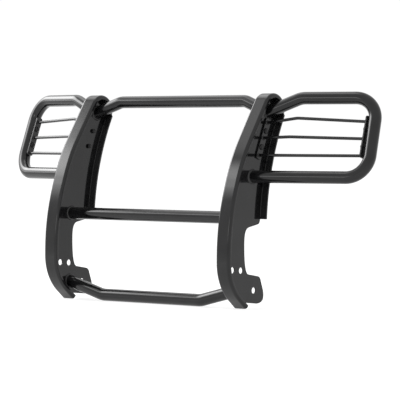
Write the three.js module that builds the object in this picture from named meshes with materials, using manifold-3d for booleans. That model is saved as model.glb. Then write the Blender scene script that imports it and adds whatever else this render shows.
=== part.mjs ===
// Front grille guard: two upright plates with formed front channels and rear
// flanges, three crossbars between them, and a swept headlight wing on each side.
// Millimetres. +X is the guard's right, -Y the front, +Z up. The plane X = 0 is
// the plane of symmetry.
import * as THREE from 'three';
import Module from 'manifold-3d';

const wasm = await Module();
wasm.setup();

// ---- driving dimensions ----
const uprightOffset = 355;      // middle of each upright plate from the symmetry plane
const plateThickness = 4.8;
const weldGap = 0.3;            // gap left between neighbouring pieces

const channelWidth = 50.8;
const channelSheet = 3;
const channelLip = 13;
const channelCorner = 8;        // outside radius of the folded corners

const flangeWidth = 50.8;
const flangeThickness = 5;
const flangeRadius = 785;       // the flange is rolled to this radius
const flangeCentreY = 803.1;
const flangeCentreZ = 223;
const flangeBottomZ = 266;
const flangeTopZ = 579;

const tubeRadius = 19.05;
const tubeWall = 2.1;
const rodRadius = 4.75;

// Front line of the upright, seen from the side as (y, z) corners, and the
// radius each corner is rolled to.
const frontFoot = [-75.5, 0];
const frontCorners = [
  { at: [-160.3, 68.4], radius: 147 },
  { at: [-160.3, 260.6], radius: 655 },
  { at: [-96.1, 451], radius: 515 },
];
const headCentre = [57, 596.5]; // the channel wraps round this point at the top
const headRadius = 49.2;
const headEndAngle = -20;       // degrees from horizontal where the wrap meets the flange, at the back

// Lower end of the upright plate
const recessTopZ = 242;
const recessFrontY = -59.4;
const recessBottomZ = 104;
const tabTopRear = [12, 93];
const tabRear = [32.5, 34];
const tabBottomZ = 11.9;
const tabFrontZ = 20.9;         // where the tab's lower edge meets the channel
const mountHoleRadius = 9.5;
const mountHoles = [[-113.6, 116.4], [-74.6, 114], [-14.5, 52]];
const boltRadius = 4;
const boltClearance = 0.3;

// Crossbars: height and depth of the straight middle, and where the ends meet the plates
const middleBar = { y: -64.4, z: 271 };
const topBar = { y: 66, z: 622.5, bendX: 257, endY: 53, endZ: 588, radius: 60 };
const lowerBar = { y: -78, z: 19.05, bendX: 203, endY: -71.7, endZ: 57.4, radius: 90 };

// Headlight wing: corners of the tube's centre line on the right-hand side
const wingStart = [uprightOffset, 52, 588];
const wingCorners = [
  { at: [462, 81, 630], radius: 75 },
  { at: [700.5, 145.4, 630], radius: 70 },
  { at: [716, 70.5, 394.2], radius: 70 },
];
const wingEnd = [uprightOffset, -23.3, 394.2];

const stripThickness = 5;
const stripWidth = 24;
// Flat bar on the upright: mid-line from foot to top, as (y, z)
const innerStripFoot = [-1, 448];
const innerStripTop = [49, 567.4];
const innerBoltShares = [0.695, 0.293];   // bolt places as shares of the bar's length
// Flat bar inside the outer leg of the wing: mid-line at the foot and the top
const outerStripFoot = [689.6, 83.5, 452];
const outerStripTop = [682.8, 126, 575];
const outerBoltShares = [0.27, 0.69];
const rods = [
  { name: 'upper', innerY: 39.5, innerZ: 555, kinkX: 462, kinkY: 61.5, kinkZ: 570, outerZ: 559 },
  { name: 'middle', innerY: 20, innerZ: 510, kinkX: 450, kinkY: 41, kinkZ: 514, outerZ: 508.5 },
  { name: 'lower', innerY: -1, innerZ: 458.5, kinkX: 462, kinkY: 26.1, kinkZ: 458.5, outerZ: 458.5 },
];
const rodKinkRadius = 60;

const headDiameter = 18;        // domed bolt heads
const innerHeadHeight = 5;
const outerHeadHeight = 8;
const nutAcrossFlats = 13;
const nutHeight = 6.5;

const steel = new THREE.MeshStandardMaterial({ name: 'gloss_black', color: 0x151617, metalness: 0.4, roughness: 0.25 });
const hardware = new THREE.MeshStandardMaterial({ name: 'black_hardware', color: 0x101011, metalness: 0.6, roughness: 0.4 });

const group = new THREE.Group();
group.name = 'grille_guard';

// ---- helpers ----
function addPart(name, geometry, material) {
  const mesh = new THREE.Mesh(geometry, material);
  mesh.name = name;
  group.add(mesh);
}

function toManifold(geometry) {
  const indexed = weld(geometry);
  const mesh = new wasm.Mesh({
    numProp: 3,
    vertProperties: new Float32Array(indexed.attributes.position.array),
    triVerts: new Uint32Array(indexed.index.array),
  });
  return new wasm.Manifold(mesh);
}

// Joins vertices that share a place, so that neighbouring triangles share them
function weld(geometry) {
  const place = geometry.attributes.position;
  const order = geometry.index ? geometry.index.array : [...Array(place.count).keys()];
  const seen = new Map();
  const positions = [];
  const index = [];
  for (const i of order) {
    const key = [place.getX(i), place.getY(i), place.getZ(i)].map((v) => Math.round(v * 1e4)).join();
    if (!seen.has(key)) {
      seen.set(key, positions.length / 3);
      positions.push(place.getX(i), place.getY(i), place.getZ(i));
    }
    index.push(seen.get(key));
  }
  const kept = [];
  for (let i = 0; i < index.length; i += 3) {
    const [a, b, c] = index.slice(i, i + 3);
    if (a !== b && b !== c && c !== a) kept.push(a, b, c);
  }
  const out = new THREE.BufferGeometry();
  out.setAttribute('position', new THREE.BufferAttribute(new Float32Array(positions), 3));
  out.setIndex(kept);
  return out;
}

function fromManifold(solid) {
  const mesh = solid.getMesh();
  const geometry = new THREE.BufferGeometry();
  geometry.setAttribute('position', new THREE.BufferAttribute(new Float32Array(mesh.vertProperties), 3));
  geometry.setIndex([...mesh.triVerts]);
  const flat = geometry.toNonIndexed();
  flat.computeVertexNormals();
  return flat;
}

// A bend between two straight runs: the points and directions where it starts,
// passes through and ends.
function bendStations(before, corner, after, radius, steps) {
  const into = corner.clone().sub(before).normalize();
  const out = after.clone().sub(corner).normalize();
  const turn = into.angleTo(out);
  const reach = radius * Math.tan(turn / 2);
  const start = corner.clone().addScaledVector(into, -reach);
  const axis = into.clone().cross(out).normalize();
  const toCentre = axis.clone().cross(into);
  const centre = start.clone().addScaledVector(toCentre, radius);
  const stations = [];
  for (let i = 0; i <= steps; i += 1) {
    const angle = turn * i / steps;
    const arm = toCentre.clone().multiplyScalar(-radius).applyAxisAngle(axis, angle);
    stations.push({ point: centre.clone().add(arm), tangent: into.clone().applyAxisAngle(axis, angle) });
  }
  return stations;
}

// Straight runs joined by bends. Sections stand only at the ends and in the bends.
class BentPath extends THREE.Curve {
  constructor(start, corners, end, stepAngle) {
    super();
    const places = [start, ...corners.map((c) => c.at), end].map((p) => new THREE.Vector3(...p));
    const first = places[1].clone().sub(places[0]).normalize();
    const last = places[places.length - 1].clone().sub(places[places.length - 2]).normalize();
    this.stations = [{ point: places[0], tangent: first }];
    corners.forEach((corner, i) => {
      const into = places[i + 1].clone().sub(places[i]);
      const out = places[i + 2].clone().sub(places[i + 1]);
      const steps = Math.max(1, Math.round(THREE.MathUtils.radToDeg(into.angleTo(out)) / stepAngle));
      this.stations.push(...bendStations(places[i], places[i + 1], places[i + 2], corner.radius, steps));
    });
    this.stations.push({ point: places[places.length - 1], tangent: last });
  }

  get steps() {
    return this.stations.length - 1;
  }

  pick(t) {
    return this.stations[Math.round(t * this.steps)];
  }

  getPoint(t, target = new THREE.Vector3()) {
    return target.copy(this.pick(t).point);
  }

  getTangent(t, target = new THREE.Vector3()) {
    return target.copy(this.pick(t).tangent);
  }

  getUtoTmapping(u) {
    return u;
  }
}

function roundBar(path, radius, segments, hollowRadius = 0) {
  const shape = new THREE.Shape().absarc(0, 0, radius, 0, 2 * Math.PI);
  if (hollowRadius > 0) {
    shape.holes.push(new THREE.Path().absarc(0, 0, hollowRadius, 0, 2 * Math.PI));
  }
  return new THREE.ExtrudeGeometry(shape, {
    steps: path.steps,
    curveSegments: segments,
    extrudePath: path,
  });
}

// Cuts a solid off square at X = low and X = high
function trimAcross(geometry, low, high) {
  const solid = toManifold(geometry)
    .trimByPlane([1, 0, 0], low)
    .trimByPlane([-1, 0, 0], -high);
  return solid;
}

// A side-view outline given as (y, z), made into a plate standing across X
function standPlate(shape, centreX, thickness, segments) {
  const geometry = new THREE.ExtrudeGeometry(shape, {
    depth: thickness,
    bevelEnabled: false,
    curveSegments: segments,
  });
  geometry.translate(0, 0, -thickness / 2);
  geometry.applyMatrix4(new THREE.Matrix4().makeBasis(
    new THREE.Vector3(0, 1, 0),
    new THREE.Vector3(0, 0, 1),
    new THREE.Vector3(1, 0, 0),
  ));
  geometry.translate(centreX, 0, 0);
  return geometry;
}

// ---- front line of the upright ----
const degree = Math.PI / 180;
const headEnd = headEndAngle * degree;
// The upper straight runs from the last corner to touch the wrap circle
const lastCorner = frontCorners[frontCorners.length - 1].at;
const cornerToHead = new THREE.Vector2(headCentre[0] - lastCorner[0], headCentre[1] - lastCorner[1]);
const touchAngle = cornerToHead.angle() + Math.asin(headRadius / cornerToHead.length());
const touchLength = Math.sqrt(cornerToHead.lengthSq() - headRadius ** 2);
const touchPoint = [
  lastCorner[0] + touchLength * Math.cos(touchAngle),
  lastCorner[1] + touchLength * Math.sin(touchAngle),
];
const touchStart = touchAngle + Math.PI / 2;

class FrontLine extends BentPath {
  constructor(x, inset) {
    super(
      [x, ...frontFoot],
      frontCorners.map((c) => ({ at: [x, ...c.at], radius: c.radius })),
      [x, ...touchPoint],
      6,
    );
    const wrapSteps = 12;
    this.stations.pop();
    for (let i = 0; i <= wrapSteps; i += 1) {
      const angle = touchStart + (headEnd - touchStart) * i / wrapSteps;
      this.stations.push({
        point: new THREE.Vector3(
          x,
          headCentre[0] + headRadius * Math.cos(angle),
          headCentre[1] + headRadius * Math.sin(angle),
        ),
        tangent: new THREE.Vector3(0, Math.sin(angle), -Math.cos(angle)),
      });
    }
    for (const station of this.stations) {
      const inward = new THREE.Vector3(0, station.tangent.z, -station.tangent.y);
      station.point.addScaledVector(inward, inset);
    }
  }
}

// Folded sheet section: the web's outside lies on y = 0 and the lips run to -y
function channelSection() {
  const half = channelWidth / 2;
  const inner = half - channelSheet;
  const shape = new THREE.Shape();
  const innerCorner = channelCorner - channelSheet;
  shape.moveTo(-half, -channelLip);
  shape.lineTo(-inner, -channelLip);
  shape.lineTo(-inner, -channelCorner);
  shape.absarc(-half + channelCorner, -channelCorner, innerCorner, Math.PI, Math.PI / 2, true);
  shape.lineTo(half - channelCorner, -channelSheet);
  shape.absarc(half - channelCorner, -channelCorner, innerCorner, Math.PI / 2, 0, true);
  shape.lineTo(inner, -channelLip);
  shape.lineTo(half, -channelLip);
  shape.lineTo(half, -channelCorner);
  shape.absarc(half - channelCorner, -channelCorner, channelCorner, 0, Math.PI / 2, false);
  shape.lineTo(-half + channelCorner, 0);
  shape.absarc(-half + channelCorner, -channelCorner, channelCorner, Math.PI / 2, Math.PI, false);
  shape.closePath();
  return shape;
}

// Rear line of the upright at a given inset in front of the flange's back face
function rearY(z, inset) {
  return flangeCentreY - Math.sqrt((flangeRadius + inset) ** 2 - (z - flangeCentreZ) ** 2);
}

function flangeShape() {
  const shape = new THREE.Shape();
  const steps = 10;
  for (let i = 0; i <= steps; i += 1) {
    const z = flangeBottomZ + (flangeTopZ - flangeBottomZ) * i / steps;
    if (i === 0) shape.moveTo(rearY(z, 0), z);
    else shape.lineTo(rearY(z, 0), z);
  }
  for (let i = steps; i >= 0; i -= 1) {
    const z = flangeBottomZ + (flangeTopZ - flangeBottomZ) * i / steps;
    shape.lineTo(rearY(z, flangeThickness), z);
  }
  shape.closePath();
  return shape;
}

function plateShape() {
  const shape = new THREE.Shape();
  const inset = channelSheet + weldGap;
  const [foot, ...front] = new FrontLine(0, inset).stations.map((s) => s.point);
  const risen = (tabFrontZ - foot.z) / (front[0].z - foot.z);
  shape.moveTo(foot.y + risen * (front[0].y - foot.y), tabFrontZ);
  for (const point of front) shape.lineTo(point.y, point.z);
  // down the back of the head to the flange, then along the flange
  const back = flangeThickness + weldGap;
  const steps = 10;
  for (let i = 0; i <= steps; i += 1) {
    const z = flangeTopZ + (flangeBottomZ - flangeTopZ) * i / steps;
    shape.lineTo(rearY(z, back), z);
  }
  // rounded lower corner of the upper part, then the recess
  const rear = rearY(flangeBottomZ, back);
  shape.quadraticCurveTo(rear - 1.5, recessTopZ + 10.5, rear - 10, recessTopZ + 8.5);
  shape.lineTo(-36, recessTopZ + 0.8);
  shape.bezierCurveTo(-50, recessTopZ - 2, recessFrontY, recessTopZ - 10, recessFrontY, 190);
  shape.bezierCurveTo(recessFrontY, 145, -55.5, recessBottomZ + 4, -42, recessBottomZ - 2);
  // lower tab
  shape.lineTo(tabTopRear[0] - 8, tabTopRear[1] + 1.6);
  shape.quadraticCurveTo(tabTopRear[0], tabTopRear[1], tabTopRear[0] + 4.5, tabTopRear[1] - 7);
  shape.lineTo(tabRear[0] - 4.5, tabRear[1] + 20.5);
  shape.bezierCurveTo(tabRear[0] - 1, tabRear[1] + 11, ...tabRear, tabRear[0] - 3.5, tabRear[1] - 9);
  shape.bezierCurveTo(tabRear[0] - 8.5, tabBottomZ + 3.6, 12, tabBottomZ, -2, tabBottomZ);
  shape.closePath();
  for (const [y, z] of mountHoles) {
    shape.holes.push(new THREE.Path().absarc(y, z, mountHoleRadius, 0, 2 * Math.PI));
  }
  for (const share of innerBoltShares) {
    const y = innerStripFoot[0] + share * (innerStripTop[0] - innerStripFoot[0]);
    const z = innerStripFoot[1] + share * (innerStripTop[1] - innerStripFoot[1]);
    const radius = boltRadius + boltClearance;
    shape.holes.push(new THREE.Path().absarc(y, z, radius, 0, 2 * Math.PI));
  }
  return shape;
}

// ---- fasteners: built along +Z from the seat of the head, then turned ----
function domedBolt(length, headHeight) {
  const head = headDiameter / 2;
  const profile = [
    new THREE.Vector2(0, -length),
    new THREE.Vector2(boltRadius - 0.8, -length),
    new THREE.Vector2(boltRadius, -length + 0.8),
    new THREE.Vector2(boltRadius, 0),
    new THREE.Vector2(head, 0),
    new THREE.Vector2(head, headHeight * 0.24),
    new THREE.Vector2(head * 0.86, headHeight * 0.6),
    new THREE.Vector2(head * 0.52, headHeight * 0.9),
    new THREE.Vector2(0, headHeight),
  ];
  return new THREE.LatheGeometry(profile, 14).rotateX(Math.PI / 2);
}

function hexNut() {
  const shape = new THREE.Shape();
  const corner = nutAcrossFlats / Math.sqrt(3);
  for (let i = 0; i < 6; i += 1) {
    const angle = i * Math.PI / 3;
    if (i === 0) shape.moveTo(corner, 0);
    else shape.lineTo(corner * Math.cos(angle), corner * Math.sin(angle));
  }
  shape.closePath();
  const hole = boltRadius + 0.1;
  shape.holes.push(new THREE.Path().absarc(0, 0, hole, 0, 2 * Math.PI));
  return new THREE.ExtrudeGeometry(shape, {
    depth: nutHeight - 0.6,
    bevelEnabled: false,
    curveSegments: 9,
  });
}

// Turns a piece built along +Z to point along a direction, and moves it
function place(geometry, at, direction) {
  const turn = new THREE.Quaternion().setFromUnitVectors(
    new THREE.Vector3(0, 0, 1),
    direction.clone().normalize(),
  );
  geometry.applyQuaternion(turn);
  geometry.translate(...at);
  return geometry;
}

// A flat bar with rounded ends between two mid-line points, its wide faces across `face`
function flatBar(foot, top, face, holesAt) {
  const along = top.clone().sub(foot);
  const length = along.length();
  const half = stripWidth / 2;
  const clip = 5;
  const shape = new THREE.Shape();
  shape.moveTo(-half + clip, 0);
  shape.lineTo(half - clip, 0);
  shape.lineTo(half, clip);
  shape.lineTo(half, length - clip);
  shape.lineTo(half - clip, length);
  shape.lineTo(-half + clip, length);
  shape.lineTo(-half, length - clip);
  shape.lineTo(-half, clip);
  shape.closePath();
  for (const share of holesAt) {
    const radius = boltRadius + boltClearance;
    shape.holes.push(new THREE.Path().absarc(0, share * length, radius, 0, 2 * Math.PI));
  }
  const geometry = new THREE.ExtrudeGeometry(shape, {
    depth: stripThickness,
    bevelEnabled: false,
    curveSegments: 9,
  });
  const up = along.clone().normalize();
  const normal = face.clone().addScaledVector(up, -face.dot(up)).normalize();
  const across = up.clone().cross(normal);
  geometry.applyMatrix4(new THREE.Matrix4().makeBasis(across, up, normal));
  geometry.translate(foot.x, foot.y, foot.z);
  return { geometry, normal, up, length };
}

// ---- uprights ----
const sides = [
  { name: 'right', sign: 1 },
  { name: 'left', sign: -1 },
];

for (const { name, sign } of sides) {
  const x = sign * uprightOffset;
  addPart(`upright_plate_${name}`, standPlate(plateShape(), x, plateThickness, 12), steel);
  const line = new FrontLine(x, 0);
  const channel = new THREE.ExtrudeGeometry(channelSection(), {
    steps: line.steps,
    curveSegments: 1,
    extrudePath: line,
  });
  addPart(`front_channel_${name}`, channel, steel);
  addPart(`rear_flange_${name}`, standPlate(flangeShape(), x, flangeWidth, 8), steel);
}

// ---- crossbars ----
const innerFace = uprightOffset - plateThickness / 2 - weldGap;
const boreRadius = tubeRadius - tubeWall;

function crossbar(bar) {
  const start = [-uprightOffset, bar.endY, bar.endZ];
  const end = [uprightOffset, bar.endY, bar.endZ];
  const corners = [
    { at: [-bar.bendX, bar.y, bar.z], radius: bar.radius },
    { at: [bar.bendX, bar.y, bar.z], radius: bar.radius },
  ];
  const path = new BentPath(start, corners, end, 5);
  return fromManifold(trimAcross(roundBar(path, tubeRadius, 11, boreRadius), -innerFace, innerFace));
}

addPart('top_crossbar', crossbar(topBar), steel);
addPart('lower_crossbar', crossbar(lowerBar), steel);
const straight = new BentPath(
  [-innerFace, middleBar.y, middleBar.z],
  [],
  [innerFace, middleBar.y, middleBar.z],
  10,
);
addPart('middle_crossbar', roundBar(straight, tubeRadius, 11, boreRadius), steel);

// ---- headlight wings ----
const outerFace = uprightOffset + plateThickness / 2 + weldGap;
const farAway = 2000;

for (const { name, sign } of sides) {
  const mirror = ([x, y, z]) => [sign * x, y, z];
  const outward = new THREE.Vector3(sign, 0, 0);

  // flat bar bolted to the upright's outer face
  const seatX = outerFace;
  const foot = new THREE.Vector3(sign * seatX, ...innerStripFoot);
  const top = new THREE.Vector3(sign * seatX, ...innerStripTop);
  const run = top.clone().sub(foot);
  const inner = flatBar(foot, top, outward, innerBoltShares);
  addPart(`inner_strip_${name}`, inner.geometry, steel);

  innerBoltShares.forEach((share, i) => {
    const level = i === 0 ? 'upper' : 'lower';
    const [, y, z] = foot.clone().addScaledVector(run, share).toArray();
    const shank = stripThickness + plateThickness + 2 * weldGap + nutHeight + 2;
    const headSeat = sign * (seatX + stripThickness + weldGap);
    const bolt = place(domedBolt(shank, innerHeadHeight), [headSeat, y, z], outward);
    addPart(`inner_bolt_${level}_${name}`, bolt, hardware);
    const nutSeat = sign * (uprightOffset - plateThickness / 2 - weldGap);
    const nut = place(hexNut(), [nutSeat, y, z], outward.clone().negate());
    addPart(`inner_nut_${level}_${name}`, nut, hardware);
  });

  // flat bar on the inside of the wing's outer leg
  const outerFoot = new THREE.Vector3(...mirror(outerStripFoot));
  const outerTop = new THREE.Vector3(...mirror(outerStripTop));
  const outer = flatBar(outerFoot, outerTop, outward.clone().negate(), outerBoltShares);
  addPart(`outer_strip_${name}`, outer.geometry, steel);

  const tubePath = new BentPath(
    mirror(wingStart),
    wingCorners.map((c) => ({ at: mirror(c.at), radius: c.radius })),
    mirror(wingEnd),
    11,
  );
  const low = sign > 0 ? outerFace : -farAway;
  const high = sign > 0 ? farAway : -outerFace;
  let tube = trimAcross(roundBar(tubePath, tubeRadius, 11, boreRadius), low, high);

  outerBoltShares.forEach((share, i) => {
    const level = i === 0 ? 'lower' : 'upper';
    const shank = stripThickness + 6;
    const seat = outerFoot.clone()
      .addScaledVector(outer.up, share * outer.length)
      .addScaledVector(outer.normal, stripThickness + weldGap);
    const bolt = place(domedBolt(shank, outerHeadHeight), seat.toArray(), outer.normal);
    addPart(`outer_bolt_${level}_${name}`, bolt, hardware);
    const drillRadius = boltRadius + boltClearance;
    const drill = new THREE.CylinderGeometry(drillRadius, drillRadius, shank + 4, 18);
    drill.rotateX(Math.PI / 2);
    drill.translate(0, 0, -(shank + 4) / 2);
    tube = tube.subtract(toManifold(place(drill, seat.toArray(), outer.normal)));
  });
  addPart(`wing_tube_${name}`, fromManifold(tube), steel);

  // rods between the two flat bars
  const rodStartX = seatX + stripThickness + weldGap;
  for (const rod of rods) {
    const share = (rod.outerZ - outerStripFoot[2]) / (outerStripTop[2] - outerStripFoot[2]);
    const onBar = outerFoot.clone().lerp(outerTop, share);
    const path = new BentPath(
      mirror([uprightOffset, rod.innerY, rod.innerZ]),
      [{ at: mirror([rod.kinkX, rod.kinkY, rod.kinkZ]), radius: rodKinkRadius }],
      [onBar.x, onBar.y, rod.outerZ],
      5,
    );
    const clear = stripThickness + weldGap;
    const facePoint = onBar.clone().addScaledVector(outer.normal, clear);
    const solid = toManifold(roundBar(path, rodRadius, 6))
      .trimByPlane([sign, 0, 0], rodStartX)
      .trimByPlane(outer.normal.toArray(), facePoint.dot(outer.normal));
    addPart(`wing_rod_${rod.name}_${name}`, fromManifold(solid), steel);
  }
}

// ---- put the origin under the middle of the guard, at its lowest point ----
group.updateMatrixWorld(true);
const bounds = new THREE.Box3().setFromObject(group);
const middle = bounds.getCenter(new THREE.Vector3());
for (const mesh of group.children) {
  mesh.geometry.translate(0, -middle.y, -bounds.min.z);
}

export default group;
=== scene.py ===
import math

import bmesh
import bpy
from mathutils import Matrix, Vector, noise
from mathutils.geometry import tessellate_polygon


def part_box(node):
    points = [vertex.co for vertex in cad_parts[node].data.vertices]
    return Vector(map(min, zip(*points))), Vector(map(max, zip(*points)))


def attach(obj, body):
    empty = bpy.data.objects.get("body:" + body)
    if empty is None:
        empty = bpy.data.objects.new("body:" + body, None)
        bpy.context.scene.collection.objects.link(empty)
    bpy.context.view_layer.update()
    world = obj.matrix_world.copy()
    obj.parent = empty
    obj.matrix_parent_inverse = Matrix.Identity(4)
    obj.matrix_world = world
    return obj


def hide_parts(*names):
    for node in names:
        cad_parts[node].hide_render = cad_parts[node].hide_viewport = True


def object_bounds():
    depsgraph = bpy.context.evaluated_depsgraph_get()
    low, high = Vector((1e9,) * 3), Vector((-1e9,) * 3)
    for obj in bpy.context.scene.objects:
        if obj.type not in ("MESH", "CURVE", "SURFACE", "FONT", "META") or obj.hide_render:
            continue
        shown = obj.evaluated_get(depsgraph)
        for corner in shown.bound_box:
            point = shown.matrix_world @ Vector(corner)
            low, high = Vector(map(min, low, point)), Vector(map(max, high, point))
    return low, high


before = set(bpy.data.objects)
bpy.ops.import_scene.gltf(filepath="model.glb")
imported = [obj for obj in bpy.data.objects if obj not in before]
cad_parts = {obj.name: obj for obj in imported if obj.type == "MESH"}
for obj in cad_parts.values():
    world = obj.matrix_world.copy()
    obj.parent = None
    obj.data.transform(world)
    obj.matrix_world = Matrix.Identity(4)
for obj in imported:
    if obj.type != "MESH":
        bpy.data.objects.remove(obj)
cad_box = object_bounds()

MM = 0.001
SIDES = {"right": 1, "left": -1}

# ---- dimensions, the same as the CAD part's ----
UPRIGHT_X = 355
PLATE = 4.8
GAP = 0.3
CHANNEL_WIDTH = 50.8
CHANNEL_SHEET = 3
CHANNEL_LIP = 13
CHANNEL_CORNER = 8
FLANGE_WIDTH = 50.8
FLANGE = 5
FLANGE_RADIUS = 785
FLANGE_CENTRE = (803.1, 223)
FLANGE_BOTTOM = 266
FLANGE_TOP = 579
TUBE = 19.05
TUBE_BORE = 16.95
ROD = 4.75

FOOT = (-75.5, 0)
FRONT_CORNERS = [((-160.3, 68.4), 147), ((-160.3, 260.6), 655), ((-96.1, 451), 515)]
HEAD = (57, 596.5)
HEAD_RADIUS = 49.2
HEAD_END = -20

RECESS_TOP = 242
RECESS_FRONT = -59.4
RECESS_BOTTOM = 104
TAB_TOP_REAR = (12, 93)
TAB_REAR = (32.5, 34)
TAB_BOTTOM = 11.9
TAB_FRONT = 20.9
MOUNT_HOLE = 9.5
MOUNT_HOLES = [(-113.6, 116.4), (-74.6, 114), (-14.5, 52)]
BOLT = 4
BOLT_HOLE = 4.3

MIDDLE_BAR = (-64.4, 271)
TOP_BAR = {"y": 66, "z": 622.5, "bend_x": 257, "end": (53, 588), "radius": 60}
LOWER_BAR = {"y": -78, "z": 19.05, "bend_x": 203, "end": (-71.7, 57.4), "radius": 90}

WING_START = (355, 52, 588)
WING_CORNERS = [((462, 81, 630), 75), ((700.5, 145.4, 630), 70), ((716, 70.5, 394.2), 70)]
WING_END = (355, -23.3, 394.2)

STRIP = 5
STRIP_WIDTH = 24
INNER_STRIP = ((-1, 448), (49, 567.4))
INNER_BOLTS = (0.695, 0.293)
OUTER_STRIP = ((689.6, 83.5, 452), (682.8, 126, 575))
OUTER_BOLTS = (0.27, 0.69)
RODS = {
    "upper": ((39.5, 555), (462, 61.5, 570), 559),
    "middle": ((20, 510), (450, 41, 514), 508.5),
    "lower": ((-1, 458.5), (462, 26.1, 458.5), 458.5),
}
ROD_KINK_RADIUS = 60
BOLT_HEAD = 9
INNER_HEAD_HEIGHT = 5
OUTER_HEAD_HEIGHT = 8
NUT_FLATS = 13
NUT_HEIGHT = 5.9
THREAD_PITCH = 1.25
THREAD_DEPTH = 0.62

# ---- details that only the visual model has ----
SEAT = 0.02            # gap left under a bolt head and round the plate's edge
OVERRUN = 0.2          # how far tubes and rods run into the gap at their ends
SHARP_ANGLE = 35
PLATE_EDGE = 0.55      # edge radii of the flat pieces
FLANGE_EDGE = 0.7
INNER_STRIP_EDGE = 0.5
OUTER_STRIP_EDGE = 0.25
STRIP_CORNER = 6
TUBE_WELD = (4, 3)     # leg and ripple pitch of each kind of weld
ROD_WELD = (2.2, 2.2)
FLANGE_WELD = (1.1, 1.8)
CHANNEL_WELD = (3.6, 2.8)
HEAD_WELD = (2.6, 2.4)
TUBE_WELD_SPACING = 0.55
ROD_WELD_SPACING = 0.45

# ---- camera, in metres before the part's shift ----
CAMERA_PLACE = (5.13433, -5.80152, 0.51092)
CAMERA_TARGET = (0, 0.151, 0.31474)
CAMERA_ROLL = 0.15
CAMERA_LENS = 225

# The CAD part stands over its origin, so its middle bar tells how far it was moved
bar_low, bar_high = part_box("middle_crossbar")
bar_middle = (bar_low + bar_high) / (2 * MM)
SHIFT = Vector((0, bar_middle.y - MIDDLE_BAR[0], bar_middle.z - MIDDLE_BAR[1]))


# ---- materials ----
def new_material(name):
    """A node material, with its nodes, its links and its main shader."""
    material = bpy.data.materials.new(name)
    material.use_nodes = True
    nodes = material.node_tree.nodes
    return material, nodes, material.node_tree.links, nodes["Principled BSDF"]


def noise_node(nodes, links, place, scale, detail, roughness=0.5):
    """Noise over the given coordinates, as a value of 0 to 1."""
    texture = nodes.new("ShaderNodeTexNoise")
    texture.inputs["Scale"].default_value = scale
    texture.inputs["Detail"].default_value = detail
    texture.inputs["Roughness"].default_value = roughness
    links.new(place, texture.inputs["Vector"])
    return texture.outputs["Fac"]


def ramp(nodes, links, value, low, high, out_low, out_high):
    """Maps low..high to out_low..out_high."""
    node = nodes.new("ShaderNodeMapRange")
    node.inputs["From Min"].default_value = low
    node.inputs["From Max"].default_value = high
    node.inputs["To Min"].default_value = out_low
    node.inputs["To Max"].default_value = out_high
    links.new(value, node.inputs["Value"])
    return node.outputs["Result"]


def math_node(nodes, links, operation, a, b):
    node = nodes.new("ShaderNodeMath")
    node.operation = operation
    for socket, value in zip(node.inputs, (a, b)):
        if isinstance(value, (int, float)):
            socket.default_value = value
        else:
            links.new(value, socket)
    return node.outputs["Value"]


def bump(nodes, links, height, strength, distance, before=None):
    node = nodes.new("ShaderNodeBump")
    node.inputs["Strength"].default_value = strength
    node.inputs["Distance"].default_value = distance
    links.new(height, node.inputs["Height"])
    if before:
        links.new(before, node.inputs["Normal"])
    return node.outputs["Normal"]


def mix_colour(nodes, links, factor, first, second):
    node = nodes.new("ShaderNodeMix")
    node.data_type = "RGBA"
    links.new(factor, node.inputs["Factor"])
    for socket, value in ((node.inputs[6], first), (node.inputs[7], second)):
        if isinstance(value, tuple):
            socket.default_value = (*value, 1)
        else:
            links.new(value, socket)
    return node.outputs[2]


def powder_coat(name, rough, peel, dark=(0.0035, 0.0035, 0.0038), light=(0.0075, 0.0075, 0.008)):
    """Gloss black powder coat: fine orange peel, slow waves of the sheet under it, and a little dust."""
    material, nodes, links, shader = new_material(name)
    place = nodes.new("ShaderNodeTexCoord").outputs["Object"]
    cloudy = noise_node(nodes, links, place, 14, 4, 0.6)
    fine = noise_node(nodes, links, place, 240, 3, 0.55)
    peel_cells = noise_node(nodes, links, place, 420, 2, 0.4)
    waves = noise_node(nodes, links, place, 22, 1, 0.4)
    specks = nodes.new("ShaderNodeTexVoronoi")
    specks.inputs["Scale"].default_value = 330
    links.new(place, specks.inputs["Vector"])
    speck_mask = ramp(nodes, links, specks.outputs["Distance"], 0.05, 0.11, 1, 0)
    sparse = ramp(nodes, links, noise_node(nodes, links, place, 60, 2), 0.62, 0.7, 0, 1)
    speck_mask = math_node(nodes, links, "MULTIPLY", speck_mask, sparse)

    base = mix_colour(nodes, links, ramp(nodes, links, cloudy, 0.35, 0.68, 0, 1), dark, light)
    upward = nodes.new("ShaderNodeSeparateXYZ")
    links.new(nodes.new("ShaderNodeNewGeometry").outputs["Normal"], upward.inputs["Vector"])
    faces_up = ramp(nodes, links, upward.outputs["Z"], 0.3, 1, 0, 0.55)
    dust = math_node(nodes, links, "MULTIPLY", faces_up, ramp(nodes, links, fine, 0.42, 0.66, 0, 1))
    dusty = mix_colour(nodes, links, dust, base, (0.021, 0.0205, 0.0195))
    specked = mix_colour(nodes, links, speck_mask, dusty, (0.026, 0.026, 0.026))
    links.new(specked, shader.inputs["Base Color"])

    smear = ramp(nodes, links, cloudy, 0.3, 0.72, rough * 0.8, rough * 1.25)
    grainy = math_node(nodes, links, "ADD", smear, ramp(nodes, links, fine, 0.3, 0.7, -0.012, 0.02))
    rougher = math_node(nodes, links, "ADD", grainy, math_node(nodes, links, "MULTIPLY", dust, 0.08))
    links.new(rougher, shader.inputs["Roughness"])
    slow = bump(nodes, links, waves, 0.2, 0.0003)
    skin = bump(nodes, links, peel_cells, peel, 0.00012, slow)
    nibs = bump(nodes, links, speck_mask, 0.35, 0.0001, skin)
    links.new(nibs, shader.inputs["Normal"])
    shader.inputs["IOR"].default_value = 1.43
    return material


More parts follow.
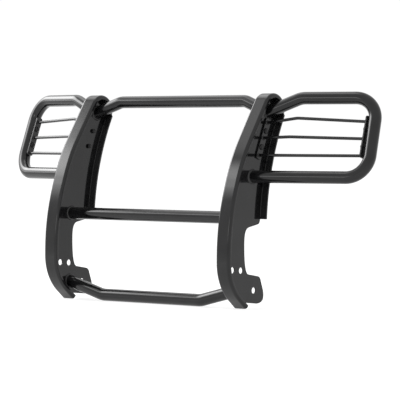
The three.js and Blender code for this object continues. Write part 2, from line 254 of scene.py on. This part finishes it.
def black_zinc(name):
    """Black finish of the bolts and nuts: satin, with turning marks and rubbed high spots."""
    material, nodes, links, shader = new_material(name)
    place = nodes.new("ShaderNodeTexCoord").outputs["Object"]
    cloudy = noise_node(nodes, links, place, 260, 4, 0.6)
    grain = noise_node(nodes, links, place, 1400, 3, 0.6)
    rubbed = ramp(nodes, links, cloudy, 0.54, 0.7, 0, 0.8)
    black = mix_colour(nodes, links, rubbed, (0.008, 0.008, 0.0085), (0.035, 0.034, 0.032))
    links.new(black, shader.inputs["Base Color"])
    links.new(ramp(nodes, links, cloudy, 0.3, 0.7, 0.2, 0.34), shader.inputs["Roughness"])
    links.new(bump(nodes, links, grain, 0.3, 0.00008), shader.inputs["Normal"])
    shader.inputs["Metallic"].default_value = 0.55
    return material


def pale_floor(name):
    """Pale studio paper with a little light of its own."""
    material, nodes, links, shader = new_material(name)
    place = nodes.new("ShaderNodeTexCoord").outputs["Object"]
    soft = noise_node(nodes, links, place, 1.2, 3)
    tint = ramp(nodes, links, soft, 0.3, 0.7, 0, 1)
    paper = mix_colour(nodes, links, tint, (0.3, 0.3, 0.3), (0.33, 0.33, 0.33))
    links.new(paper, shader.inputs["Base Color"])
    links.new(ramp(nodes, links, soft, 0.3, 0.7, 0.75, 0.85), shader.inputs["Roughness"])
    shader.inputs["Emission Color"].default_value = (1, 1, 1, 1)
    shader.inputs["Emission Strength"].default_value = 0.71
    return material


COAT = powder_coat("powder_coat_sheet", 0.1, 0.05)
# The flange's coat is a lighter black than the other coats. This is painted sheen standing in for the light
# on the flange face, not a different paint.
FLANGE_PAINTED_SHEEN_COAT = powder_coat("powder_coat_flange_painted_sheen", 0.16, 0.06, (0.011, 0.011, 0.0115), (0.018, 0.018, 0.0185))
TUBE_COAT = powder_coat("powder_coat_tube", 0.12, 0.05)
STRIP_COAT = powder_coat("powder_coat_strip", 0.4, 0.2)
WELD_COAT = powder_coat("powder_coat_weld", 0.16, 0.12, light=(0.01, 0.01, 0.0105))
ZINC = black_zinc("black_zinc")


# ---- mesh helpers ----
class Shape:
    """Points and faces of one piece, in millimetres of the drawing frame."""

    def __init__(self):
        self.points = []
        self.faces = []

    def ring(self, points):
        first = len(self.points)
        self.points.extend(Vector(p) for p in points)
        return list(range(first, len(self.points)))

    def bridge(self, a, b, closed=True):
        count = len(a)
        for i in range(count if closed else count - 1):
            j = (i + 1) % count
            self.faces.append((a[i], a[j], b[j], b[i]))

    def loft(self, rings, closed=False):
        for a, b in zip(rings, rings[1:]):
            self.bridge(a, b)
        if closed:
            self.bridge(rings[-1], rings[0])

    def cap(self, *rings):
        """Fills the first ring, with the others as holes in it."""
        index = [i for ring in rings for i in ring]
        loops = [[self.points[i] for i in ring] for ring in rings]
        for triangle in tessellate_polygon(loops):
            self.faces.append(tuple(index[i] for i in triangle))


def write_piece(name, shape, material, side="right", stands_for=None):
    """Makes the piece from its shape; the left-hand one is the mirror image."""
    sign = SIDES[side]
    mesh = bpy.data.meshes.new(name)
    places = [((sign * p.x) * MM, (p.y + SHIFT.y) * MM, (p.z + SHIFT.z) * MM) for p in shape.points]
    mesh.from_pydata(places, [], shape.faces)
    working = bmesh.new()
    working.from_mesh(mesh)
    bmesh.ops.remove_doubles(working, verts=working.verts, dist=1e-7)
    bmesh.ops.recalc_face_normals(working, faces=working.faces)
    working.to_mesh(mesh)
    working.free()
    for polygon in mesh.polygons:
        polygon.use_smooth = True
    mesh.set_sharp_from_angle(angle=math.radians(SHARP_ANGLE))
    mesh.materials.append(material)
    piece = bpy.data.objects.new(name, mesh)
    bpy.context.scene.collection.objects.link(piece)
    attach(piece, "root")
    if stands_for:
        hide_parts(stands_for)


def arc(centre, radius, start, end, steps):
    """Points of a flat arc, with its angles in degrees."""
    out = []
    for i in range(steps + 1):
        angle = math.radians(start + (end - start) * i / steps)
        out.append((centre[0] + radius * math.cos(angle), centre[1] + radius * math.sin(angle)))
    return out


def bezier(points, steps):
    """Points of a Bezier curve of any degree, without its first point."""
    out = []
    for i in range(1, steps + 1):
        level = [Vector(p) for p in points]
        while len(level) > 1:
            level = [a.lerp(b, i / steps) for a, b in zip(level, level[1:])]
        out.append(tuple(level[0]))
    return out


def clean_loop(loop, least=0.02):
    """Drops points that lie on the one before them."""
    out = []
    for point in loop:
        if not out or (Vector(point) - Vector(out[-1])).length > least:
            out.append(tuple(point))
    if (Vector(out[0]) - Vector(out[-1])).length <= least:
        out.pop()
    return out


def signed_area(loop):
    """Area of a flat loop, positive when it runs counter-clockwise."""
    return sum(a[0] * b[1] - b[0] * a[1] for a, b in zip(loop, loop[1:] + loop[:1])) / 2


def with_supports(loop, reach=0.8):
    """Adds a point close to each end of the long sides, so that they shade flat."""
    out = []
    for a, b in zip(loop, loop[1:] + loop[:1]):
        out.append(a)
        run = Vector(b) - Vector(a)
        if run.length > 5 * reach:
            step = run.normalized() * reach
            out.append(tuple(Vector(a) + step))
            out.append(tuple(Vector(b) - step))
    return out


def offset_loop(loop, inset):
    """Moves every side of a closed flat loop to its left."""
    out = []
    count = len(loop)
    for i in range(count):
        before, here, after = Vector(loop[i - 1]), Vector(loop[i]), Vector(loop[(i + 1) % count])
        into, away = (here - before).normalized(), (after - here).normalized()
        left_in, left_out = Vector((-into.y, into.x)), Vector((-away.y, away.x))
        middle = (left_in + left_out).normalized()
        out.append(tuple(here + middle * inset / max(0.35, middle.dot(left_in))))
    return out


def bevel_profile(thickness, radius, support=0.7, steps=3):
    """(inset, height) pairs round the edge of a slab, from its lower to its upper face."""
    turn = [math.radians(90 * i / steps) for i in range(steps + 1)]
    lower = [(radius * (1 - math.sin(a)), radius * (1 - math.cos(a))) for a in turn]
    upper = [(inset, thickness - height) for inset, height in reversed(lower)]
    side = []
    if thickness > 2 * radius + 2.5 * support:
        side = [(0, radius + support), (0, thickness - radius - support)]
    return [(radius + support, 0)] + lower + side + upper + [(radius + support, thickness)]


def slab(loops, origin, u, v, normal, thickness, radius):
    """A flat piece with rounded edges: its outline and its holes lie in the plane of u and v."""
    shape = Shape()
    profile = bevel_profile(thickness, radius)
    lower, upper = [], []
    for number, loop in enumerate(loops):
        loop = clean_loop(loop)
        wants_left = number == 0
        if (signed_area(loop) > 0) != wants_left:
            loop.reverse()
        rings = []
        for inset, height in profile:
            flat = offset_loop(loop, inset)
            rings.append(shape.ring([origin + u * p[0] + v * p[1] + normal * height for p in flat]))
        shape.loft(rings)
        lower.append(rings[0])
        upper.append(rings[-1])
    shape.cap(*lower)
    shape.cap(*upper)
    return shape


def bent_path(places, radii, step=3.0, support=4.0):
    """(point, tangent) stations along straight runs joined by bends."""
    places = [Vector(p) for p in places]
    first = (places[1] - places[0]).normalized()
    stations = [(places[0], first)]
    for before, corner, after, radius in zip(places, places[1:], places[2:], radii):
        into, away = (corner - before).normalized(), (after - corner).normalized()
        turn = into.angle(away)
        start = corner - into * radius * math.tan(turn / 2)
        axis = into.cross(away).normalized()
        to_centre = axis.cross(into)
        centre = start + to_centre * radius
        steps = max(3, round(math.degrees(turn) / step))
        if (start - stations[-1][0]).dot(into) > 3 * support:
            stations.append((start - into * support, into))
        for i in range(steps + 1):
            spin = Matrix.Rotation(turn * i / steps, 3, axis)
            stations.append((centre - spin @ to_centre * radius, spin @ into))
        stations.append((stations[-1][0] + away * support, away))
    stations.append((places[-1], (places[-1] - places[-2]).normalized()))
    return stations


def carried_frames(stations):
    """Two directions across each station, carried along the path without twist."""
    tangent = stations[0][1]
    across = tangent.orthogonal().normalized()
    frames = []
    for _, here in stations:
        across = (tangent.rotation_difference(here).to_matrix() @ across).normalized()
        tangent = here
        frames.append((across, here.cross(across)))
    return frames


def round_bar(stations, radius, bore=0, start_plane=None, end_plane=None, sides=48):
    """A round tube or rod, its ends cut off by the planes given as (point, normal)."""
    shape = Shape()
    frames = carried_frames(stations)
    planes = {0: start_plane, len(stations) - 1: end_plane}

    def rings_of(size):
        rings = []
        for number, ((point, tangent), (a, b)) in enumerate(zip(stations, frames)):
            plane = planes.get(number)
            ring = []
            for i in range(sides):
                angle = 2 * math.pi * i / sides
                p = point + (a * math.cos(angle) + b * math.sin(angle)) * size
                if plane:
                    p = p + tangent * (plane[0] - p).dot(plane[1]) / tangent.dot(plane[1])
                ring.append(p)
            rings.append(shape.ring(ring))
        return rings

    outer = rings_of(radius)
    shape.loft(outer)
    if bore:
        inner = rings_of(bore)
        shape.loft(inner)
        shape.bridge(outer[0], inner[0])
        shape.bridge(outer[-1], inner[-1])
    else:
        shape.cap(outer[0])
        shape.cap(outer[-1])
    return shape


def lathe(profile, origin, axis, sides=40, twist=None):
    """Turns (radius, height) pairs about an axis; twist(angle, height) may change the radius."""
    shape = Shape()
    a = axis.orthogonal().normalized()
    b = axis.cross(a)
    rings = []
    for radius, height in profile:
        ring = []
        for i in range(sides):
            angle = 2 * math.pi * i / sides
            size = twist(angle, radius, height) if twist else radius
            ring.append(origin + axis * height + (a * math.cos(angle) + b * math.sin(angle)) * size)
        rings.append(shape.ring(ring))
    shape.loft(rings)
    return shape, rings


def fillet_bead(samples, leg, pitch, closed=True, sink=0.7):
    """A weld bead in the corner between two surfaces. Each sample is a corner point with
    the directions that run away from it along the first and the second surface."""
    shape = Shape()
    count = len(samples)
    run = [0.0]
    for (a, _, _), (b, _, _) in zip(samples, samples[1:]):
        run.append(run[-1] + (b - a).length)
    whole = run[-1] + (samples[0][0] - samples[-1][0]).length if closed else run[-1]
    ripples = max(1, round(whole / pitch))
    rings = []
    for (corner, first, second), along in zip(samples, run):
        phase = 2 * math.pi * ripples * along / whole
        size = leg * (1 + 0.05 * math.sin(phase) + 0.05 * noise.noise(corner * 0.11))
        lean = 1 + 0.08 * noise.noise(corner * 0.07 + Vector((9, 4, 2)))
        if not closed:
            size *= math.sqrt(max(0.02, min(1, along / leg, (whole - along) / leg)))
        bulge = 0.16 + 0.05 * math.sin(phase + 0.8)
        outward = (first + second).normalized()
        ring = [corner - (first + second) * sink]
        ring.append(corner + first * size * lean - second * sink)
        for k in range(8):
            t = k / 7
            flat = first * size * lean * (1 - t) + second * size / lean * t
            ring.append(corner + flat + outward * size * bulge * math.sin(math.pi * t))
        ring.append(corner + second * size / lean - first * sink)
        rings.append(shape.ring(ring))
    shape.loft(rings, closed)
    if not closed:
        shape.cap(rings[0])
        shape.cap(rings[-1])
    return shape


def plane_weld(place, axis, radius, on_plane, normal, size, spacing):
    """Bead round a tube or rod where it meets a plane; size is its leg and its ripple pitch."""
    axis = axis.normalized()
    a = axis.orthogonal().normalized()
    b = axis.cross(a)
    count = int(2 * math.pi * radius / spacing)
    samples = []
    for i in range(count):
        angle = 2 * math.pi * i / count
        radial = a * math.cos(angle) + b * math.sin(angle)
        p = place + radial * radius
        p = p + axis * (on_plane - p).dot(normal) / axis.dot(normal)
        on_plate = (radial - normal * radial.dot(normal)).normalized()
        on_tube = (normal - radial * normal.dot(radial)).normalized()
        samples.append((p, on_plate, on_tube))
    return fillet_bead(samples, *size)


def tube_weld(place, tangent, radius, plane_x, facing, size):
    """Bead on the upright plane x = plane_x, whose open side faces +X or -X."""
    normal = Vector((facing, 0, 0))
    return plane_weld(place, tangent, radius, Vector((plane_x, 0, 0)), normal, size, TUBE_WELD_SPACING)


# ---- front line of the upright ----
def touch_point():
    """Where the upper straight run touches the head's circle, and its angle on the circle."""
    last = Vector(FRONT_CORNERS[-1][0])
    to_head = Vector(HEAD) - last
    lean = math.atan2(to_head.y, to_head.x) + math.asin(HEAD_RADIUS / to_head.length)
    length = math.sqrt(to_head.length_squared - HEAD_RADIUS**2)
    return last + Vector((math.cos(lean), math.sin(lean))) * length, lean + math.pi / 2


def front_line(inset, step=2.5):
    """(point, inward, tangent) stations along the channel's outer face, moved inward by an inset."""
    touch, start = touch_point()
    places = [(0, *FOOT)] + [(0, *at) for at, _ in FRONT_CORNERS] + [(0, *touch)]
    stations = bent_path(places, [radius for _, radius in FRONT_CORNERS], step)[:-1]
    stations.append((Vector((0, *touch)) - stations[-1][1] * 4, stations[-1][1]))
    end = math.radians(HEAD_END)
    steps = 44
    for i in range(steps + 1):
        angle = start + (end - start) * i / steps
        spoke = Vector((0, math.cos(angle), math.sin(angle)))
        stations.append((Vector((0, *HEAD)) + spoke * HEAD_RADIUS, Vector((0, spoke.z, -spoke.y))))
    out = []
    for point, tangent in stations:
        inward = Vector((0, tangent.z, -tangent.y))
        out.append((point + inward * inset, inward, tangent))
    return out


def rear_y(z, inset):
    """How far back the flange's rear face lies at a height, less an inset."""
    return FLANGE_CENTRE[0] - math.sqrt((FLANGE_RADIUS + inset) ** 2 - (z - FLANGE_CENTRE[1]) ** 2)


def plate_outline():
    """The side plate's edge: up the front, over the head, down the flange, then recess and tab."""
    stations = [Vector((p.y, p.z)) for p, _, _ in front_line(CHANNEL_SHEET + SEAT)]
    foot, second = stations[0], stations[1]
    rise = (TAB_FRONT - foot.y) / (second.y - foot.y)
    loop = [tuple(foot.lerp(second, rise))] + [tuple(p) for p in stations[1:]]
    back = FLANGE + SEAT
    steps = 40
    for i in range(steps + 1):
        z = FLANGE_TOP + (FLANGE_BOTTOM - FLANGE_TOP) * i / steps
        loop.append((rear_y(z, back), z))
    rear = rear_y(FLANGE_BOTTOM, back)
    loop += bezier([loop[-1], (rear - 1.5, RECESS_TOP + 10.5), (rear - 10, RECESS_TOP + 8.5)], 14)
    loop.append((-36, RECESS_TOP + 0.8))
    into_recess = [(-50, RECESS_TOP - 2), (RECESS_FRONT, RECESS_TOP - 10), (RECESS_FRONT, 190)]
    loop += bezier([loop[-1]] + into_recess, 24)
    loop += bezier([loop[-1], (RECESS_FRONT, 145), (-55.5, RECESS_BOTTOM + 4), (-42, RECESS_BOTTOM - 2)], 24)
    top_y, top_z = TAB_TOP_REAR
    loop.append((top_y - 8, top_z + 1.6))
    loop += bezier([loop[-1], TAB_TOP_REAR, (top_y + 4.5, top_z - 7)], 10)
    rear_edge, rear_z = TAB_REAR
    loop.append((rear_edge - 4.5, rear_z + 20.5))
    loop += bezier([loop[-1], (rear_edge - 1, rear_z + 11), TAB_REAR, (rear_edge - 3.5, rear_z - 9)], 12)
    loop += bezier([loop[-1], (rear_edge - 8.5, TAB_BOTTOM + 3.6), (12, TAB_BOTTOM), (-2, TAB_BOTTOM)], 18)
    return loop


def build_upright(side):
    """The side plate with its formed front channel, its rolled rear flange and their welds."""
    across, up, out = Vector((0, 1, 0)), Vector((0, 0, 1)), Vector((1, 0, 0))
    loops = [plate_outline()]
    loops += [arc(hole, MOUNT_HOLE, 0, 360, 56)[:-1] for hole in MOUNT_HOLES]
    foot, top = (Vector(p) for p in INNER_STRIP)
    for share in INNER_BOLTS:
        loops.append(arc(foot.lerp(top, share), BOLT_HOLE, 0, 360, 32)[:-1])
    origin = Vector((UPRIGHT_X - PLATE / 2, 0, 0))
    plate = slab(loops, origin, across, up, out, PLATE, PLATE_EDGE)
    write_piece(f"side_plate_{side}", plate, COAT, side, f"upright_plate_{side}")

    half, tip = CHANNEL_WIDTH / 2, 0.9
    corner, inner = CHANNEL_CORNER, CHANNEL_CORNER - CHANNEL_SHEET
    far = half - corner
    section = arc((-far, corner), corner, 180, 270, 8) + arc((far, corner), corner, 270, 360, 8)
    section += arc((half - tip, CHANNEL_LIP - tip), tip, 0, 90, 3)
    section += arc((half - CHANNEL_SHEET + tip, CHANNEL_LIP - tip), tip, 90, 180, 3)
    section += arc((far, corner), inner, 360, 270, 5) + arc((-far, corner), inner, 270, 180, 5)
    section += arc((-half + CHANNEL_SHEET - tip, CHANNEL_LIP - tip), tip, 0, 90, 3)
    section += arc((-half + tip, CHANNEL_LIP - tip), tip, 90, 180, 3)
    section = with_supports(clean_loop(section))
    shape = Shape()
    rings = []
    stations = front_line(0)

    def channel_ring(flat, point, inward):
        rings.append(shape.ring([point + out * (UPRIGHT_X + p[0]) + inward * p[1] for p in flat]))

    ends = [(1.3, 0), (0.6, 0), (0.3, 0.08), (0.08, 0.3), (0, 0.6), (0, 1.6)]
    for inset, along in ends:
        point, inward, tangent = stations[0]
        channel_ring(offset_loop(section, inset), point + tangent * along, inward)
    for point, inward, _ in stations[1:-1]:
        channel_ring(section, point, inward)
    for inset, along in reversed(ends[:-1]):
        point, inward, tangent = stations[-1]
        channel_ring(offset_loop(section, inset), point - tangent * along, inward)
    shape.loft(rings)
    shape.cap(rings[0])
    shape.cap(rings[-1])
    write_piece(f"channel_{side}", shape, COAT, side, f"front_channel_{side}")

    steps = 40
    heights = [FLANGE_BOTTOM + (FLANGE_TOP - FLANGE_BOTTOM) * i / steps for i in range(steps + 1)]
    loop = [(rear_y(z, 0), z) for z in heights] + [(rear_y(z, FLANGE), z) for z in reversed(heights)]
    origin = Vector((UPRIGHT_X - FLANGE_WIDTH / 2, 0, 0))
    flange = slab([loop], origin, across, up, out, FLANGE_WIDTH, FLANGE_EDGE)
    write_piece(f"flange_{side}", flange, FLANGE_PAINTED_SHEEN_COAT, side, f"rear_flange_{side}")

    for face in (1, -1):
        x = UPRIGHT_X + face * PLATE / 2
        where = "outer" if face > 0 else "inner"
        sidewise = Vector((face, 0, 0))
        samples = []
        for i in range(int((FLANGE_TOP - FLANGE_BOTTOM - 14) / 0.8)):
            z = FLANGE_BOTTOM + 6 + 0.8 * i
            slope = (z - FLANGE_CENTRE[1]) / (FLANGE_RADIUS + FLANGE)
            forward = Vector((0, -math.sqrt(1 - slope**2), slope))
            samples.append((Vector((x, rear_y(z, FLANGE), z)), sidewise, forward))
        bead = fillet_bead(samples, *FLANGE_WELD, closed=False)
        write_piece(f"weld_flange_{where}_{side}", bead, WELD_COAT, side)

        samples = []
        line = front_line(CHANNEL_SHEET, 1.0)
        for (a, inward, _), (b, _, _) in zip(line, line[1:]):
            for i in range(max(1, int((b - a).length / 0.9))):
                p = a.lerp(b, i * 0.9 / max(0.9, (b - a).length))
                if p.z > TAB_FRONT + 2:
                    samples.append((p + Vector((x, 0, 0)), inward, sidewise))
        bead = fillet_bead(samples[:-8], *CHANNEL_WELD, closed=False)
        write_piece(f"weld_channel_{where}_{side}", bead, WELD_COAT, side)

    # the seam across the back where the channel's end meets the top of the flange
    seam_y = rear_y(FLANGE_TOP, 0) - 0.5
    spread = FLANGE_WIDTH / 2 - 1.5
    count = int(2 * spread / 0.7)
    samples = []
    along_channel, along_flange = Vector((0, 0.35, 0.94)), Vector((0, 0.5, -0.87))
    for i in range(count + 1):
        x = UPRIGHT_X - spread + 2 * spread * i / count
        samples.append((Vector((x, seam_y, FLANGE_TOP + 0.4)), along_channel, along_flange))
    bead = fillet_bead(samples, *HEAD_WELD, closed=False)
    write_piece(f"weld_head_{side}", bead, WELD_COAT, side)


# ---- tubes ----
INNER_FACE = UPRIGHT_X - PLATE / 2
OUTER_FACE = UPRIGHT_X + PLATE / 2


def mirrored(p):
    return (-p[0], p[1], p[2])


def build_crossbars():
    """The three crossbars between the uprights, with a weld at each end."""
    ends = (-INNER_FACE - OVERRUN, INNER_FACE + OVERRUN)
    faces = [(Vector((x, 0, 0)), Vector((1, 0, 0))) for x in ends]
    paths = {}
    for name, bar in (("top_crossbar", TOP_BAR), ("lower_crossbar", LOWER_BAR)):
        corner = (bar["bend_x"], bar["y"], bar["z"])
        end = (UPRIGHT_X, *bar["end"])
        places = [mirrored(end), mirrored(corner), corner, end]
        paths[name] = bent_path(places, [bar["radius"]] * 2)
    y, z = MIDDLE_BAR
    along = Vector((1, 0, 0))
    paths["middle_crossbar"] = [(Vector((x, y, z)), along) for x in (-UPRIGHT_X, 0, UPRIGHT_X)]
    for name, path in paths.items():
        shape = round_bar(path, TUBE, TUBE_BORE, faces[0], faces[1])
        write_piece(f"{name}_tube", shape, TUBE_COAT, stands_for=name)
        place, tangent = path[-1]
        for side in SIDES:
            bead = tube_weld(place, -tangent, TUBE, INNER_FACE, -1, TUBE_WELD)
            write_piece(f"weld_{name}_{side}", bead, WELD_COAT, side)


def strip_shape(foot, top, face, bolt_shares, bevel):
    """A flat bar on its mid-line, with rounded corners; returns its shape and directions too."""
    along = top - foot
    length = along.length
    up = along.normalized()
    normal = (face - up * face.dot(up)).normalized()
    across = up.cross(normal)
    side = STRIP_WIDTH / 2 - STRIP_CORNER
    end = length - STRIP_CORNER
    loop = arc((side, STRIP_CORNER), STRIP_CORNER, 270, 360, 8)
    loop += arc((side, end), STRIP_CORNER, 0, 90, 8)
    loop += arc((-side, end), STRIP_CORNER, 90, 180, 8)
    loop += arc((-side, STRIP_CORNER), STRIP_CORNER, 180, 270, 8)
    loops = [loop] + [arc((0, share * length), BOLT_HOLE, 0, 360, 32)[:-1] for share in bolt_shares]
    return slab(loops, foot, across, up, normal, STRIP, bevel), normal, up, length


def domed_bolt(seat, direction, length, thread, head_height):
    """A domed bolt from the tip of its shank to its head, whose seat lies at the given point."""
    steps = 14
    dome = []
    for i in range(steps + 1):
        t = math.radians(90 * i / steps)
        dome.append((BOLT_HEAD * math.cos(t), 1.3 + (head_height - 1.3) * math.sin(t)))
    rounded = [(BOLT_HEAD - 0.35, 0), (BOLT_HEAD - 0.1, 0.12), (BOLT_HEAD, 0.4)]
    slices = 10 * thread / THREAD_PITCH
    turns = [-length + 1.0 + thread * i / slices for i in range(int(slices) + 1)]
    shank = [(0.001, -length), (BOLT - 1.2, -length), (BOLT - 0.9, -length + 0.3)]
    shank += [(BOLT, z) for z in turns] + [(BOLT, -0.01)]

    def cut(angle, radius, height):
        if -length + 0.9 < height < -length + 1.0 + thread and abs(radius - BOLT) < 0.01:
            share = (height / THREAD_PITCH - angle / (2 * math.pi)) % 1
            return BOLT - THREAD_DEPTH * (1 - abs(2 * share - 1))
        return radius

    shape, rings = lathe(shank + rounded + dome[:-1], seat, direction, 40, cut)
    shape.cap(rings[0])
    shape.cap(rings[-1])
    return shape


def hex_nut(seat, direction):
    """A hexagon nut with turned corners, standing on its seat."""
    flat = NUT_FLATS / 2
    point = flat / math.cos(math.pi / 6)

    def hexagon(angle, radius, height):
        if radius < BOLT + 1.2:
            return radius
        share = (angle + math.pi / 6) % (math.pi / 3) - math.pi / 6
        edge = min(height, NUT_HEIGHT - height)
        turned = flat * 0.985 + edge * 1.9
        return min(radius, flat / math.cos(share), turned)

    profile = [(BOLT + 0.15, 0), (BOLT + 0.9, 0)]
    profile += [(point, h) for h in (0, 0.15, 0.3, 0.45, 0.6, 0.75, 1.4, NUT_HEIGHT / 2)]
    profile += [(point, NUT_HEIGHT - h) for h in (1.4, 0.75, 0.6, 0.45, 0.3, 0.15, 0)]
    profile += [(BOLT + 0.9, NUT_HEIGHT), (BOLT + 0.15, NUT_HEIGHT - 0.6)]
    shape, rings = lathe(profile, seat, direction, 72, hexagon)
    shape.bridge(rings[-1], rings[0])
    return shape


def build_wing(side):
    """The swept tube, its two flat bars, the three rods between them, and the bolts."""
    out = Vector((1, 0, 0))
    corners = [at for at, _ in WING_CORNERS]
    tube_path = bent_path([WING_START] + corners + [WING_END], [r for _, r in WING_CORNERS])
    face = (Vector((OUTER_FACE - OVERRUN, 0, 0)), out)
    tube = round_bar(tube_path, TUBE, TUBE_BORE, face, face)
    write_piece(f"wing_{side}", tube, TUBE_COAT, side, f"wing_tube_{side}")
    for level, (place, tangent) in (("upper", tube_path[0]), ("lower", tube_path[-1])):
        outward = tangent if tangent.x > 0 else -tangent
        bead = tube_weld(place, outward, TUBE, OUTER_FACE, 1, TUBE_WELD)
        write_piece(f"weld_wing_{level}_{side}", bead, WELD_COAT, side)

    foot, top = (Vector((OUTER_FACE + GAP, *at)) for at in INNER_STRIP)
    shape = strip_shape(foot, top, out, INNER_BOLTS, INNER_STRIP_EDGE)[0]
    write_piece(f"inner_bar_{side}", shape, COAT, side, f"inner_strip_{side}")
    for level, share in zip(("upper", "lower"), INNER_BOLTS):
        at = foot.lerp(top, share)
        seat = Vector((at.x + STRIP + SEAT, at.y, at.z))
        grip = STRIP + PLATE + 2 * GAP + NUT_HEIGHT + 2.6
        bolt = domed_bolt(seat, out, grip, 5, INNER_HEAD_HEIGHT)
        stands_for = f"inner_bolt_{level}_{side}"
        write_piece(f"bolt_inner_{level}_{side}", bolt, ZINC, side, stands_for)
        nut = hex_nut(Vector((INNER_FACE - 0.05, at.y, at.z)), -out)
        write_piece(f"nut_{level}_{side}", nut, ZINC, side, f"inner_nut_{level}_{side}")

    foot, top = Vector(OUTER_STRIP[0]), Vector(OUTER_STRIP[1])
    shape, normal, up, length = strip_shape(foot, top, -out, OUTER_BOLTS, OUTER_STRIP_EDGE)
    write_piece(f"outer_bar_{side}", shape, STRIP_COAT, side, f"outer_strip_{side}")
    for level, share in zip(("lower", "upper"), OUTER_BOLTS):
        seat = foot + up * (share * length) + normal * (STRIP + SEAT)
        bolt = domed_bolt(seat, normal, STRIP + 6, 4, OUTER_HEAD_HEIGHT)
        stands_for = f"outer_bolt_{level}_{side}"
        write_piece(f"bolt_outer_{level}_{side}", bolt, ZINC, side, stands_for)

    inner_plane = (Vector((OUTER_FACE + GAP + STRIP - OVERRUN, 0, 0)), out)
    for name, ((inner_y, inner_z), kink, outer_z) in RODS.items():
        on_bar = foot.lerp(top, (outer_z - foot.z) / (top.z - foot.z))
        outer_plane = (on_bar + normal * (STRIP - OVERRUN), normal)
        places = [(UPRIGHT_X, inner_y, inner_z), kink, (on_bar.x, on_bar.y, outer_z)]
        path = bent_path(places, [ROD_KINK_RADIUS], 2.0)
        rod = round_bar(path, ROD, 0, inner_plane, outer_plane, 28)
        write_piece(f"rod_{name}_{side}", rod, TUBE_COAT, side, f"wing_rod_{name}_{side}")
        place, tangent = path[0]
        bead = tube_weld(place, tangent, ROD, OUTER_FACE + GAP + STRIP, 1, ROD_WELD)
        write_piece(f"weld_rod_{name}_inner_{side}", bead, WELD_COAT, side)
        place, tangent = path[-1]
        on_plane = on_bar + normal * STRIP
        bead = plane_weld(place, -tangent, ROD, on_plane, normal, ROD_WELD, ROD_WELD_SPACING)
        write_piece(f"weld_rod_{name}_outer_{side}", bead, WELD_COAT, side)


for side in SIDES:
    build_upright(side)
    build_wing(side)
build_crossbars()


# ---- floor, light and camera ----
def build_floor():
    """A plain floor, far wider than the view, just under the part."""
    size, cells = 30.0, 12
    surface = bmesh.new()
    bmesh.ops.create_grid(surface, x_segments=cells, y_segments=cells, size=size)
    mesh = bpy.data.meshes.new("studio_floor")
    surface.to_mesh(mesh)
    surface.free()
    mesh.materials.append(pale_floor("studio_paper"))
    floor = bpy.data.objects.new("studio_floor", mesh)
    floor.location = (0, 0, cad_box[0].z - 0.0005)
    bpy.context.scene.collection.objects.link(floor)


def aim(thing, target):
    """Turns a light or the camera towards a point."""
    thing.rotation_euler = (Vector(target) - thing.location).to_track_quat("-Z", "Y").to_euler()


def softbox(name, place, target, width, height, radiance, core):
    """A soft light whose brightness fades from its core to its rim; core is a share of its half size."""
    light = bpy.data.lights.new(name, "AREA")
    light.shape = "RECTANGLE"
    light.size = width
    light.size_y = height
    light.energy = radiance * math.pi * width * height
    light.use_nodes = True
    nodes, links = light.node_tree.nodes, light.node_tree.links
    spot = nodes.new("ShaderNodeVectorMath")
    spot.operation = "DISTANCE"
    spot.inputs[1].default_value = (0.5, 0.5, 0)
    links.new(nodes.new("ShaderNodeNewGeometry").outputs["Parametric"], spot.inputs[0])
    fade = nodes.new("ShaderNodeMapRange")
    fade.interpolation_type = "SMOOTHSTEP"
    fade.inputs["From Min"].default_value = core / 2
    fade.inputs["From Max"].default_value = 0.5
    fade.inputs["To Min"].default_value = 1
    fade.inputs["To Max"].default_value = 0
    links.new(spot.outputs["Value"], fade.inputs["Value"])
    links.new(fade.outputs["Result"], nodes["Emission"].inputs["Strength"])
    lamp = bpy.data.objects.new(name, light)
    lamp.location = place
    aim(lamp, target)
    bpy.context.scene.collection.objects.link(lamp)


def build_light():
    """White surroundings and the soft lights: name, place, target, width, height, radiance, core."""
    world = bpy.data.worlds.new("studio")
    world.use_nodes = True
    background = world.node_tree.nodes["Background"]
    background.inputs["Color"].default_value = (1, 1, 1, 1)
    background.inputs["Strength"].default_value = 1.02
    bpy.context.scene.world = world
    softbox("left_wall", (-2.9, -0.75, 2.08), (0, -0.75, 2.08), 4.4, 2.2, 8.4, 0.4)
    softbox("left_low", (-2.9, -0.45, 0.95), (0, -0.45, 0.95), 1.6, 0.9, 4.0, 0.1)
    softbox("left_corner", (-2.9, -3.05, 2.85), (0.35, -0.1, 0.4), 2.0, 1.7, 4.6, 0.02)
    softbox("left_high", (-2.9, -1.8, 4.3), (0.35, -0.1, 0.4), 3.4, 2.4, 1.0, 0.3)
    softbox("front_low", (-0.03, -3.83, 1.0), (0.6, 0.12, 0.63), 1.8, 1.2, 3.0, 0.2)
    softbox("overhead", (-0.58, -0.2, 3.37), (0.6, 0.12, 0.63), 2.0, 2.0, 2.3, 0.2)
    softbox("overhead_rear", (-1.9, 0.9, 3.2), (0, 0, 0.4), 3.0, 3.0, 1.8, 0.2)


def build_camera():
    """The camera, which follows the part's shift."""
    data = bpy.data.cameras.new("camera")
    data.lens = CAMERA_LENS
    data.sensor_width = 36
    data.clip_end = 100
    camera = bpy.data.objects.new("camera", data)
    camera.location = Vector(CAMERA_PLACE) + SHIFT * MM
    aim(camera, Vector(CAMERA_TARGET) + SHIFT * MM)
    camera.rotation_euler.rotate_axis("Z", math.radians(CAMERA_ROLL))
    bpy.context.scene.collection.objects.link(camera)
    bpy.context.scene.camera = camera


build_floor()
build_light()
build_camera()
bpy.context.scene.view_settings.view_transform = "Standard"
